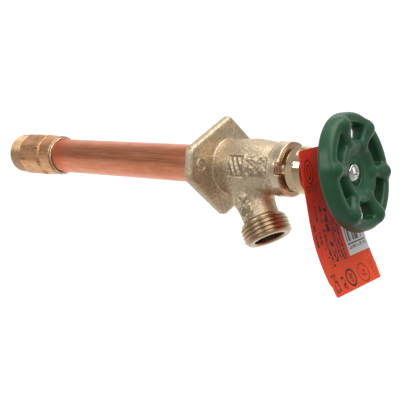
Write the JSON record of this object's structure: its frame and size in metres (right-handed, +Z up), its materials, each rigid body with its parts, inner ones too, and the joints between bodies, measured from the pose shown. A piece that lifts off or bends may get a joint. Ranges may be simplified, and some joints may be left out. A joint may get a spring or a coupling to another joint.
{
  "type": "hose bib",
  "caption": "Frost-free wall hose bib: long copper barrel, cast body with flange and threaded spout, hexagonal packing nut, green handwheel and hang tag.",
  "frame": {"origin": "centre of the wall flange's back face, on the valve axis", "axes": "+Z up, -Y out of the wall along the valve axis to the handwheel, +Y into the wall to the inlet, +X to the right seen from outside"},
  "size_m": [0.0649, 0.2848, 0.094],
  "materials": {
    "cast_nickel": "grainy nickel-toned casting",
    "copper": "satin copper",
    "inlet_brass": "turned brass, copper toned",
    "solder": "bright solder",
    "turned_brass": "turned",
    "spring_steel": "ground",
    "seal_rubber": "moulded",
    "packing": "graphited cord",
    "float_plastic": "moulded",
    "nut_plate": "bright plated",
    "green_enamel": "satin enamel",
    "screw_plate": "bright plated",
    "tag_card": "printed card",
    "label_paper": "printed sticker"
  },
  "bodies": {
    "root": {"valve_body": "cast_nickel", "barrel_tube": "copper", "inlet_solder": "solder", "flange_solder": "solder", "inlet_fitting": "inlet_brass", "breaker_retainer": "spring_steel", "packing_washer": "turned_brass", "stem_packing": "packing", "gland_follower": "turned_brass", "packing_nut": "nut_plate"},
    "plug": {"washer_holder": "turned_brass", "seat_washer": "seal_rubber", "washer_plate": "turned_brass", "washer_screw": "turned_brass"},
    "stem": {"rear_shank": "turned_brass", "swivel_clip": "spring_steel", "stem_tube": "turned_brass", "spindle": "turned_brass", "cross_pins": "spring_steel", "handwheel": "green_enamel", "wheel_screw": "screw_plate"},
    "float": {"breaker_float": "float_plastic", "breaker_seal": "seal_rubber"},
    "tag": {"hang_tag": "tag_card", "tag_label": "label_paper"}
  },
  "joints": [
    {"name": "plug_lift", "type": "slide", "parent": "root", "child": "plug", "axis": [0, -1, 0], "range_m": [0, 0.0064]},
    {"name": "stem_turn", "type": "hinge", "parent": "plug", "child": "stem", "pos_m": [0, -0.0833, 0], "axis": [0, -1, 0], "range_deg": [0, 720]},
    {"name": "breaker_slide", "type": "slide", "parent": "root", "child": "float", "axis": [0, -1, 0], "range_m": [0, 0.0023]},
    {"name": "tag_swing", "type": "hinge", "parent": "root", "child": "tag", "pos_m": [0, -0.0708, 0], "axis": [0, -1, 0], "continuous": true}
  ],
  "couplings": [
    {"joint": "plug_lift", "follows": "stem_turn", "m_per_rad": 0.00050929}
  ]
}
